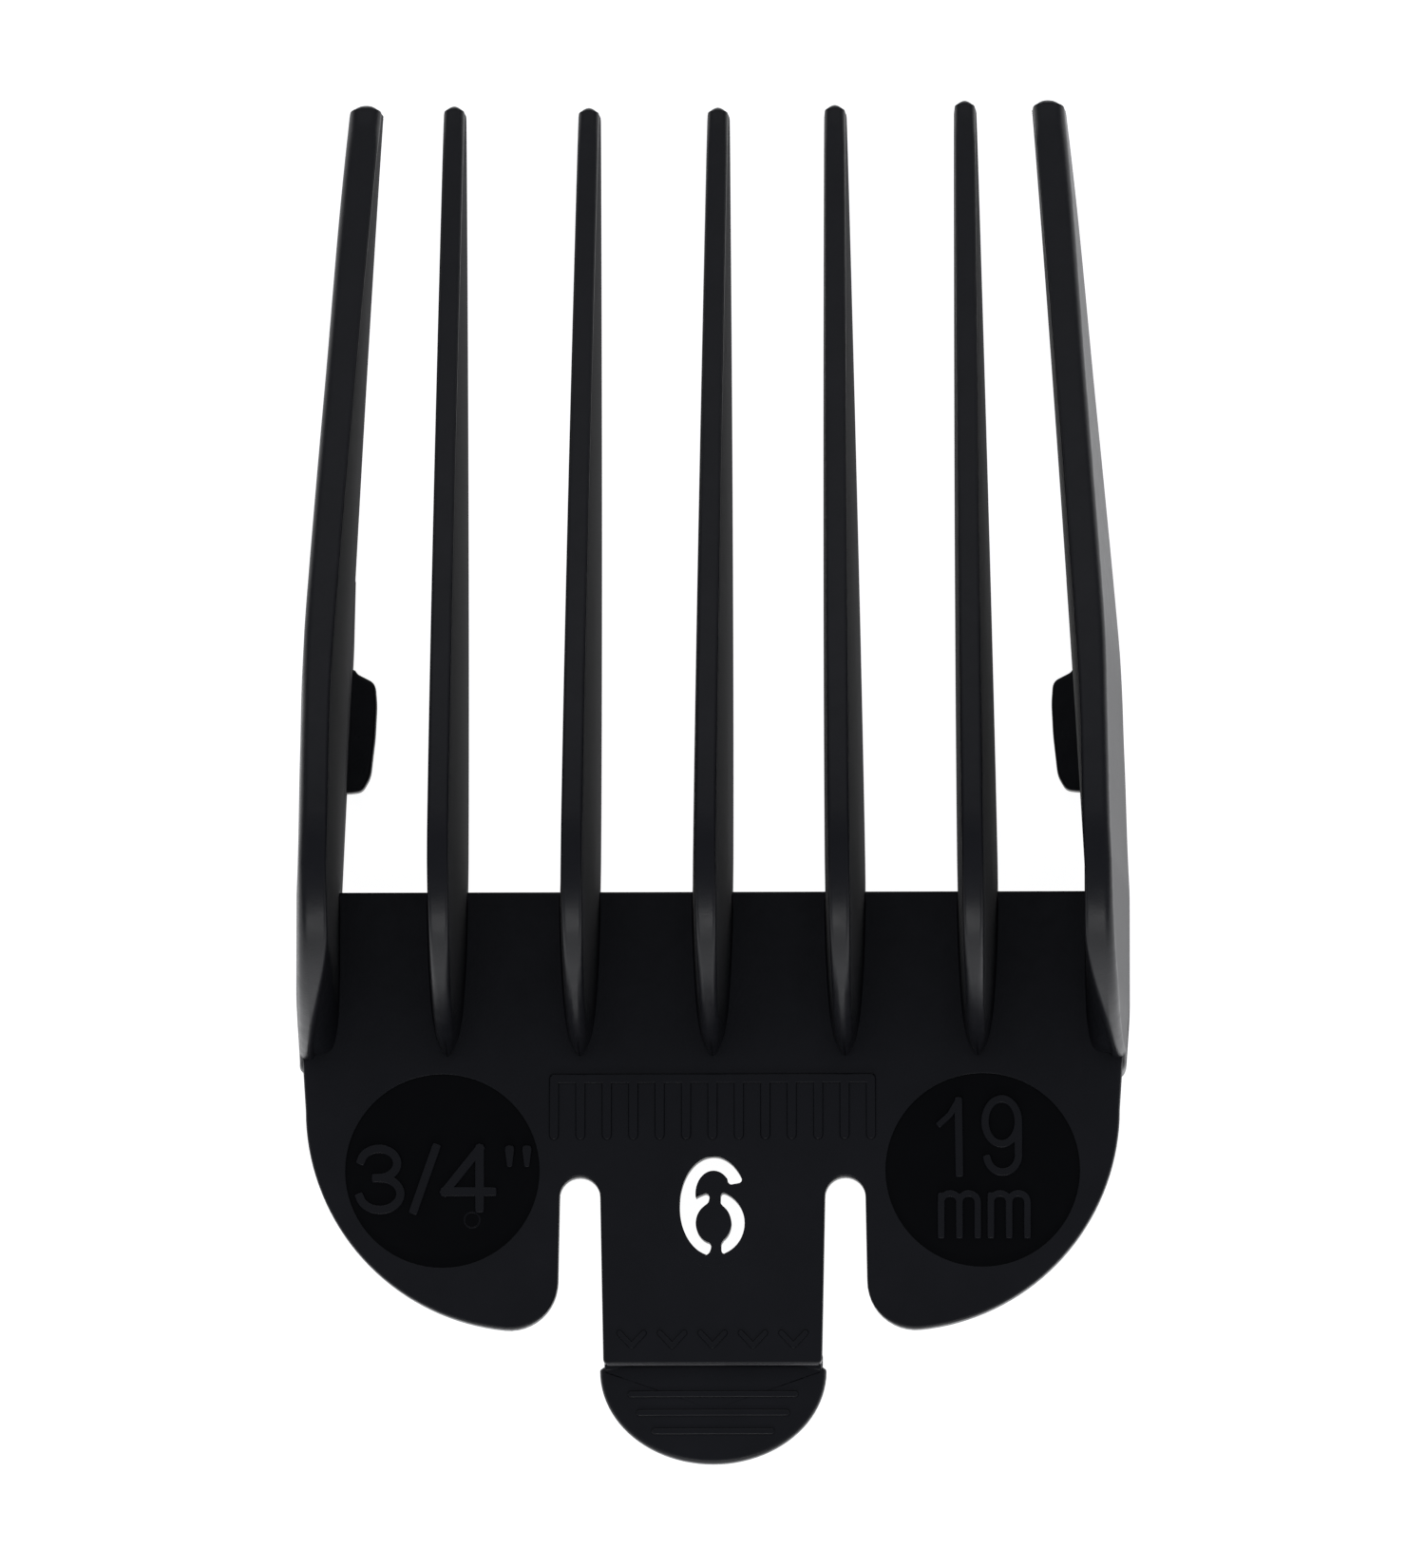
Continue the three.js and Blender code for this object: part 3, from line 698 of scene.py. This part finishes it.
def six_holes():
    """The figure 6 cut through the tab, as two clockwise outlines either side of its bridges."""
    x, long_y, bowl_y, crook_y = 0.06, behind(19.51), behind(20.57), behind(18.75)
    end_y = crook_y + 0.9
    left = arc(x, long_y, 2.1, 3.08, 257, 34, 46)
    left += bend((1.81, end_y - 0.02), (1.8, end_y - 0.2), (1.62, end_y - 0.24))
    left += bend((1.17, end_y - 0.32), (0.99, end_y - 0.33), (0.91, end_y - 0.03))
    left += arc(x, crook_y, 1.12, 1.44, 40, 186, 18)
    left += arc(x, bowl_y, 1.93, 1.9, 124, 104, 5)
    left += bend((-0.36, bowl_y + 1.86), (-0.15, bowl_y + 1.72), (-0.2, bowl_y + 1.5))
    left += bend((-0.2, bowl_y + 1.5), (-0.24, bowl_y + 1.24), (-0.4, bowl_y + 1.16))
    left += arc(x, bowl_y, 1.1, 1.25, 115, 246, 16)
    left += bend((-0.22, bowl_y - 1.2), (-0.06, bowl_y - 1.3), (-0.1, bowl_y - 1.56))
    left += bend((-0.1, bowl_y - 1.56), (-0.16, bowl_y - 1.9), (-0.4, bowl_y - 1.97))
    right = arc(x, bowl_y, 1.92, 2.0, 66, -66, 22)
    right += bend((0.82, bowl_y - 1.87), (0.57, bowl_y - 1.98), (0.53, bowl_y - 1.6))
    right += bend((0.53, bowl_y - 1.55), (0.5, bowl_y - 1.24), (0.62, bowl_y - 1.14))
    right += arc(x, bowl_y, 1.1, 1.25, -56, 58, 14)
    right += bend((0.6, bowl_y + 1.12), (0.46, bowl_y + 1.22), (0.49, bowl_y + 1.5))
    right += bend((0.49, bowl_y + 1.6), (0.52, bowl_y + 1.96), (0.8, bowl_y + 1.84))
    return clean(left), clean(right)


def bend(start, corner, end, steps=4):
    """A quadratic curve from start to end that rounds a corner."""
    points = []
    for i in range(steps + 1):
        t = i / steps
        weights = ((1 - t) ** 2, 2 * t * (1 - t), t * t)
        points.append(
            tuple(sum(w * p[k] for w, p in zip(weights, (start, corner, end))) for k in range(2))
        )
    return points


def clean(outline):
    """Drops points that lie closer than a twentieth of a millimetre to the one before."""
    kept = []
    for point in outline:
        if not kept or math.dist(point, kept[-1]) > 0.05:
            kept.append(point)
    return kept


def tab_strip(material, end_highlight):
    root, end = TAB_ROOT, behind(TAB_END)
    end_face = (end + 0.01) * MM
    corner = 0.32
    slot = arc(SLOT_MIDDLE, behind(SLOT_TOP + SLOT_R), SLOT_R, SLOT_R, 90, 180, 8)[1:]
    side = [(SLOT_MIDDLE, root, 0.0)] + [(x, y, 1.0) for x, y in [SLOT_ENDS[1], *slot]]
    tip = arc(TAB_TIP_HALF - corner, end + corner, corner, corner, 0, -90, 6)
    right = side + [(x, y, 0.75) for x, y in tip]
    whole = right + [(-x, y, s) for x, y, s in reversed(right)]
    whole.reverse()
    outline = [(x, y) for x, y, _ in whole]
    softness = [s for _, _, s in whole]
    builder = Builder()
    holes = six_holes()
    add_slab(
        builder,
        [outline, *holes],
        0,
        PLATE_TOP,
        SEAT_EDGE_R,
        PLATE_EDGE_R,
        [softness, [0.4] * len(holes[0]), [0.4] * len(holes[1])],
        seams=SLOT_ENDS,
    )
    # A faint raised ring, the witness mark of the insert that cuts the figure.
    ring = arc(0.15, behind(19.75), 3.45, 3.45, 0, 360, 72)[:-1]
    low, high = PLATE_TOP - SUNK, PLATE_TOP + 0.006
    add_stroke(builder, ring, 0.2, low, high, radius=0.005, closed=True)
    bend_end = behind(24.5)
    rows = 18
    cuts = [root + (bend_end - root) * i / rows for i in range(1, rows + 1)]
    strip = put_mesh("release_strip", builder, None, ["release_tab"], material, cuts=cuts)
    # The tab's end face takes the pale material: a painted highlight along the tab's end, standing
    # in for the light caught there.
    second_finish(strip, end_highlight, lambda face: face.normal.y < -0.9 and face.center.y < end_face)
    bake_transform(strip)


def chevrons(material):
    """A row of raised arrowheads that point to the lip."""
    y, low, high = behind(27.8), PLATE_TOP - SUNK, PLATE_TOP + 0.11
    shapes = []
    count, spacing = 5, 2.5
    for i in range(count):
        x = (i - count // 2) * spacing
        path = [(x - 0.75, y + 0.42), (x, y - 0.38), (x + 0.75, y + 0.42)]
        shapes += [stroke(pair, 0.34, low, high, radius=0.05) for pair in zip(path, path[1:])]
    put_mesh("tab_arrows", united("tab_arrows", shapes), "tab_body", None, material)


def lip(material):
    """The half-round thumb lip: crowned across, with a cove up to the tab's end."""
    back = latch_low.y
    front = behind(TAB_END) + 0.25
    depth = back - lip_low.y
    half = lip_high.x
    low = lip_low.z
    rim = arc(0, back, half, depth, 0, -180, 48)
    tip = TAB_TIP_HALF - 0.06
    corner = [(half - 0.03, behind(TAB_END + 0.2)), (tip, behind(TAB_END)), (tip, front)]
    rim += [(-x, y) for x, y in corner]
    rim += [(tip * (i / 12 - 1), front) for i in range(1, 24)]
    rim += corner[::-1]
    rim.reverse()
    centre = (0.0, back - depth * 0.42)
    builder = Builder()

    def top(x, y):
        """The crowned top: it falls away to both sides and, less, to the back."""
        return -LIP_CROWN * (x / half) ** 2 - 0.1 * max((back - y) / depth, 0) ** 2

    soft = [1.0] * len(rim)
    top_r, low_r = 0.34, 0.3
    rings = []
    lower = edge_rings(builder, rim, soft, low, low_r, up=False)
    for k in range(7):
        turn = math.pi / 2 * k / 6
        points = inset(rim, [top_r * (1 - math.cos(turn))] * len(rim))
        rings.append([(x, y, top(x, y) - top_r * (1 - math.sin(turn))) for x, y in points])
    inner = inset(rim, [top_r] * len(rim))
    cx, cy = centre
    for share in (0.97, 0.85, 0.7, 0.55, 0.4, 0.25, 0.1):
        points = [(cx + (x - cx) * share, cy + (y - cy) * share) for x, y in inner]
        rings.append([(x, y, top(x, y)) for x, y in points])
    upper = [builder.ring(points) for points in rings]
    builder.skin(lower[::-1] + upper)
    builder.fan(upper[-1], (*centre, top(*centre)))
    builder.cap([lower[-1]], up=False)
    for distance in (1.45, 2.6, 3.75):  # the grip ribs
        y = back - distance
        reach = half * math.sqrt(1 - (distance / depth) ** 2) - 1.7
        steps = 12
        path = [(-reach + 2 * reach * i / steps, y) for i in range(steps + 1)]
        start = len(builder.points)
        add_stroke(builder, path, 0.42, -0.1, 0.13, radius=0.09)
        for i in range(start, len(builder.points)):
            x, py, z = builder.points[i]
            builder.points[i] = (x, py, z + top(x, py))
    put_mesh("lip_moulding", builder, "tab_body", ["thumb_lip"], material)


def across(builder, profile, half, radius):
    """Extrudes a counter-clockwise (y, z) outline across the comb, with rounded edges."""
    turned = Builder()
    add_slab(turned, [profile], -half, half, radius, radius)
    start = len(builder.points)
    builder.points += [(z, x, y) for x, y, z in turned.points]
    builder.faces += [tuple(i + start for i in face) for face in turned.faces]


def rounded(corners, radius, steps=4):
    """A closed outline with each corner rounded."""
    outline = []
    count = len(corners)
    for i in range(count):
        here = Vector(corners[i])
        first = Vector(corners[i - 1]) - here
        second = Vector(corners[(i + 1) % count]) - here
        cut = min(radius, first.length * 0.45, second.length * 0.45)
        a, b = here + first.normalized() * cut, here + second.normalized() * cut
        for k in range(steps + 1):
            t = k / steps
            point = a * (1 - t) ** 2 + here * 2 * t * (1 - t) + b * t * t
            outline.append(tuple(point))
    return outline


def latch(material):
    """The post under the tab's end and its catch, with a lead-in below."""
    back, front = latch_low.y, latch_high.y
    half = TAB_TIP_HALF - 0.04
    nose_high = node_box("latch_nose")[1]
    builder = Builder()
    inside = behind(TAB_END) + 0.15  # behind here the post stays below the lip's top
    post = [(back, -0.15), (back, BOTTOM + 0.5), (back + 0.5, BOTTOM), (front, BOTTOM)]
    post += [(front, 0.5), (inside, 0.5), (inside, -0.15)]
    across(builder, rounded(post, 0.18), half, 0.16)
    top = nose_high.z
    tip = nose_high.y
    nose = [
        (front - 0.4, top),
        (front - 0.4, BOTTOM + 0.02),
        (front + 0.25, BOTTOM + 0.02),
        (tip, top - 0.4),
        (tip - 0.08, top),
    ]
    nose_half = 5.5
    across(builder, rounded(nose, 0.12), nose_half, 0.14)
    put_mesh("latch_moulding", builder, "tab_body", ["latch_post", "latch_nose"], material)


# ---- Blade guides -----------------------------------------------------------------------------


def blade_guide(side, material):
    """A rail under a side tooth with its lug, rounded, with a sloping toe."""
    number = INNER_TEETH + 1 if side > 0 else 0
    name = "right" if side > 0 else "left"
    depth = -BOTTOM
    start, toe = rail_low.y - FRONT, rail_high.y - FRONT
    toe_start, toe_depth = 15.5, 0.8
    end_round = 0.9  # length of the rear end's rounding in plan
    stations = [start + end_round * (1 - math.cos(math.pi / 2 * i / 6)) for i in range(6)]
    stations += [start + end_round + (toe - start - end_round) * i / 40 for i in range(41)]
    builder = Builder()
    rings = []
    for distance in stations:
        reach = depth
        if distance > toe_start:
            reach = depth - (depth - toe_depth) * (distance - toe_start) / (toe - toe_start)
        if distance < start + 1:
            reach = depth - 1 + math.sqrt(max(1 - (start + 1 - distance) ** 2, 0))
        inside = inner_face(distance)
        outside = wall_foot(distance, skin_height(distance)) - 0.06
        past = min(max(start + end_round - distance, 0) / end_round, 1)
        outside -= 0.55 * (1 - math.sqrt(1 - past**2))
        section = [(inside, 0.4), (inside, -reach), (outside, -reach), (outside, 0.4)]
        section = section[:1] + lower_corners(section, 0.3) + section[3:]
        lean = lean_at(number, distance)
        points = [(side * x + lean, ahead(distance), z) for x, z in section]
        rings.append(builder.ring(points if side > 0 else points[::-1]))
    builder.skin(rings)
    builder.faces.append(tuple(reversed(rings[0])))
    builder.faces.append(tuple(rings[-1]))
    add_lug(builder, side)
    replaced = [f"{name}_blade_rail", f"{name}_blade_lug"]
    put_mesh(f"blade_guide_{name}", builder, "comb_body", replaced, material)


def lower_corners(section, radius, steps=4):
    """The two lower corners of a rail's section, rounded."""
    each = steps + 1
    return rounded(section, radius, steps)[each : 3 * each]


def add_lug(builder, side):
    back, front, nose = LUG_BACK, LUG_FRONT, LUG_NOSE
    root = [inner_face(d) + 0.4 for d in (back, front)]
    outline = [
        (root[0], ahead(back)),
        (root[1], ahead(front)),
        (root[1] - 0.45, ahead(front)),
        (root[1] - 0.62, ahead(front - 0.28)),
        (nose + 0.1, ahead(front - 0.85)),
        (nose, ahead(front - 2.2)),
        (nose + 0.1, ahead(front - 4.2)),
        (nose + 0.38, ahead(back + 1.0)),
        (nose + 0.9, ahead(back + 0.1)),
        (root[0] - 0.6, ahead(back)),
    ]
    outline = rounded(outline, 0.4, 5)
    if side < 0:
        outline = [(-x, y) for x, y in reversed(outline)]
    add_slab(builder, [outline], BOTTOM + 0.02, LUG_TOP, 0.2, 0.16)


# ---- Materials --------------------------------------------------------------------------------


def new_material(name):
    material = bpy.data.materials.new(name)
    material.use_nodes = True
    tree = material.node_tree
    shader = tree.nodes["Principled BSDF"]
    return material, tree, shader


def noise(tree, coordinates, scale, detail, rough=0.55):
    node = tree.nodes.new("ShaderNodeTexNoise")
    node.inputs["Scale"].default_value = scale
    node.inputs["Detail"].default_value = detail
    node.inputs["Roughness"].default_value = rough
    tree.links.new(coordinates, node.inputs["Vector"])
    return node.outputs["Fac"]


def ramp(tree, value, stops):
    node = tree.nodes.new("ShaderNodeValToRGB")
    elements = node.color_ramp.elements
    while len(elements) < len(stops):
        elements.new(0.5)
    for element, (position, color) in zip(elements, stops):
        element.position = position
        element.color = (*color, 1)
    tree.links.new(value, node.inputs["Fac"])
    return node.outputs["Color"]


def nylon(name, dark, light, rough_low, rough_high, side_rough, grain, specular):
    """Moulded black nylon: a fine eroded grain and slow mottling. The faces to the left and right,
    which slide along the mould as the part is pushed out, are duller, at side_rough."""
    material, tree, shader = new_material(name)
    nodes, links = tree.nodes, tree.links
    place = nodes.new("ShaderNodeTexCoord").outputs["Object"]
    # Object coordinates are in metres: the mottling is about 4 mm across, the patches of gloss
    # about 1 mm, and the grain of the bump 0.6 and 0.15 mm.
    mottle = noise(tree, place, 260, 4)
    color = ramp(tree, mottle, [(0.35, dark), (0.68, light)])
    patches = noise(tree, place, 900, 3)
    rough = ramp(tree, patches, [(0.3, (rough_low,) * 3), (0.7, (rough_high,) * 3)])
    split = nodes.new("ShaderNodeSeparateXYZ")
    links.new(nodes.new("ShaderNodeNewGeometry").outputs["Normal"], split.inputs["Vector"])
    level = nodes.new("ShaderNodeMath")
    level.operation = "ABSOLUTE"
    links.new(split.outputs["X"], level.inputs[0])
    steep = nodes.new("ShaderNodeMapRange")
    steep.inputs["From Min"].default_value = 0.99  # 8 degrees from facing straight sideways
    steep.inputs["From Max"].default_value = 0.999  # 2.6 degrees
    links.new(level.outputs["Value"], steep.inputs["Value"])
    duller = nodes.new("ShaderNodeMix")
    duller.data_type = "FLOAT"
    links.new(steep.outputs["Result"], duller.inputs["Factor"])
    links.new(rough, duller.inputs["A"])
    duller.inputs["B"].default_value = side_rough
    fine = noise(tree, place, 7000, 2, 0.6)
    coarse = noise(tree, place, 1800, 3, 0.5)
    mix = nodes.new("ShaderNodeMath")
    mix.operation = "ADD"
    links.new(fine, mix.inputs[0])
    links.new(coarse, mix.inputs[1])
    bump = nodes.new("ShaderNodeBump")
    bump.inputs["Strength"].default_value = grain
    bump.inputs["Distance"].default_value = 0.00002
    links.new(mix.outputs["Value"], bump.inputs["Height"])
    links.new(bump.outputs["Normal"], shader.inputs["Normal"])
    links.new(color, shader.inputs["Base Color"])
    links.new(duller.outputs["Result"], shader.inputs["Roughness"])
    shader.inputs["Specular IOR Level"].default_value = specular
    shader.inputs["IOR"].default_value = 1.5
    return material


def pale_floor():
    """White round the comb and a soft grey far out."""
    material, tree, shader = new_material("pale_floor")
    place = tree.nodes.new("ShaderNodeTexCoord").outputs["Object"]
    length = tree.nodes.new("ShaderNodeVectorMath")
    length.operation = "LENGTH"
    tree.links.new(place, length.inputs[0])
    stops = [(distance, (level,) * 3) for distance, level in FLOOR_GLOW]
    glow = ramp(tree, length.outputs["Value"], stops)
    tree.links.new(glow, shader.inputs["Emission Color"])
    grain = noise(tree, place, 3, 2)
    color = ramp(tree, grain, [(0.0, (0.78, 0.78, 0.79)), (1.0, (0.82, 0.82, 0.82))])
    tree.links.new(color, shader.inputs["Base Color"])
    shader.inputs["Roughness"].default_value = 0.9
    shader.inputs["Specular IOR Level"].default_value = 0.0
    shader.inputs["Emission Strength"].default_value = 1.0
    return material


# ---- Stage ------------------------------------------------------------------------------------


# The sky, from straight down at 0 to straight up at 1, level at 0.5.
SKY = [
    (0.45, (0.04, 0.04, 0.045)),
    (0.53, (0.08, 0.08, 0.09)),
    (0.63, (0.18, 0.185, 0.2)),
    (0.75, (0.27, 0.28, 0.31)),
    (1.0, (0.24, 0.25, 0.285)),
]
# The floor's own light: (distance from the comb in metres, brightness).
FLOOR_GLOW = [(0.35, 0.96), (0.9, 0.6)]
# Softboxes: azimuth, elevation, distance, (width, height), watts.
LIGHTS = [
    (0, 20, 0.4, (0.3, 0.08), 0.3),
    (180, 48, 0.4, (0.5, 0.25), 0.13),
]


def stage():
    half = 6.0
    z = BOTTOM * MM - 0.00002  # just under the comb, so that the faces don't coincide
    mesh = bpy.data.meshes.new("floor")
    corners = [(-half, -half, z), (half, -half, z), (half, half, z), (-half, half, z)]
    mesh.from_pydata(corners, [], [(0, 1, 2, 3)])
    floor = bpy.data.objects.new("floor", mesh)
    bpy.context.scene.collection.objects.link(floor)
    mesh.materials.append(pale_floor())


def softbox(name, azimuth, elevation, distance, size, watts):
    """An area light that faces the comb. Azimuth 0 is on the -Y side and 90 on the +X side."""
    a, e = math.radians(azimuth), math.radians(elevation)
    away = Vector((math.sin(a) * math.cos(e), -math.cos(a) * math.cos(e), math.sin(e)))
    data = bpy.data.lights.new(name, "AREA")
    data.shape = "RECTANGLE"
    data.size, data.size_y = size
    data.energy = watts
    light = bpy.data.objects.new(name, data)
    light.location = away * distance
    light.rotation_mode = "QUATERNION"
    light.rotation_quaternion = away.to_track_quat("Z", "Y")
    light.visible_camera = False
    bpy.context.scene.collection.objects.link(light)


def studio():
    world = bpy.data.worlds.new("studio")
    bpy.context.scene.world = world
    world.use_nodes = True
    tree = world.node_tree
    direction = tree.nodes.new("ShaderNodeTexCoord").outputs["Generated"]
    split = tree.nodes.new("ShaderNodeSeparateXYZ")
    tree.links.new(direction, split.inputs["Vector"])
    shift = tree.nodes.new("ShaderNodeMath")
    shift.operation = "MULTIPLY_ADD"
    shift.inputs[1].default_value = 0.5
    shift.inputs[2].default_value = 0.5
    tree.links.new(split.outputs["Z"], shift.inputs[0])
    glow = ramp(tree, shift.outputs["Value"], SKY)
    tree.links.new(glow, tree.nodes["Background"].inputs["Color"])
    tree.nodes["Background"].inputs["Strength"].default_value = 1.0
    for number, light in enumerate(LIGHTS):
        softbox(f"softbox_{number}", *light)


def camera():
    """Nearly straight above, through a long lens, leaning a little to the tail and the right."""
    data = bpy.data.cameras.new("camera")
    cam = bpy.data.objects.new("camera", data)
    bpy.context.scene.collection.objects.link(cam)
    distance, view_height = 1850.0, 97.06
    lean_right, lean_back = 1.4, 6.0  # degrees
    data.sensor_width = 36
    data.lens = data.sensor_width * distance / view_height
    data.clip_start, data.clip_end = 0.1, 30
    target = Vector((-0.03, ahead(6.83), 0))
    right, back = math.tan(math.radians(lean_right)), math.tan(math.radians(lean_back))
    away = Vector((right, -back, 1)).normalized()
    across = Vector((0, 1, 0)).cross(away).normalized()
    up = away.cross(across)
    cam.location = (target + away * distance) * MM
    cam.rotation_mode = "QUATERNION"
    cam.rotation_quaternion = Matrix((across, up, away)).transposed().to_quaternion()
    bpy.context.scene.camera = cam


# ---- The scene --------------------------------------------------------------------------------

# Each finish: its darkest and lightest colour, least and most roughness, the roughness of the
# faces to the left and right, the depth of the grain, and the specular level.
BLACK = ((0.0075, 0.008, 0.0105), (0.0102, 0.0106, 0.0138))
DEEP = ((0.003, 0.0032, 0.0038), (0.004, 0.0042, 0.0048))
# Pale tones for a painted highlight on the tab's end face.
HIGHLIGHT_TONES = ((0.1, 0.1, 0.105), (0.16, 0.16, 0.165))
black = nylon("black_nylon_moulded", *BLACK, 0.32, 0.4, 0.97, 0.35, 0.3)
handled = nylon("black_nylon_handled", *BLACK, 0.32, 0.4, 0.5, 0.3, 0.3)
polished = nylon("black_nylon_polished", *DEEP, 0.2, 0.28, 0.5, 0.05, 0.1)
# A painted highlight: this pale material stands in for the light caught along the tab's end.
painted_highlight = nylon("black_nylon_painted_highlight", *HIGHLIGHT_TONES, 0.4, 0.5, 0.5, 0.3, 0.4)

camera()
plate(black)
for number in range(1, INNER_TEETH + 1):
    inner_tooth(number, black)
for side in (-1, 1):
    side_tooth(side, black, handled)
    blade_guide(side, black)
disc("inch_disc_face", -1, ["inch_size_disc"], polished)
disc("metric_disc_face", 1, ["metric_size_disc"], polished)
inch_figures(black)
metric_figures(black)
comb_mark(black)
tab_strip(black, painted_highlight)
chevrons(black)
latch(black)
lip(black)
stage()
studio()
bpy.context.scene.view_settings.view_transform = "Standard"
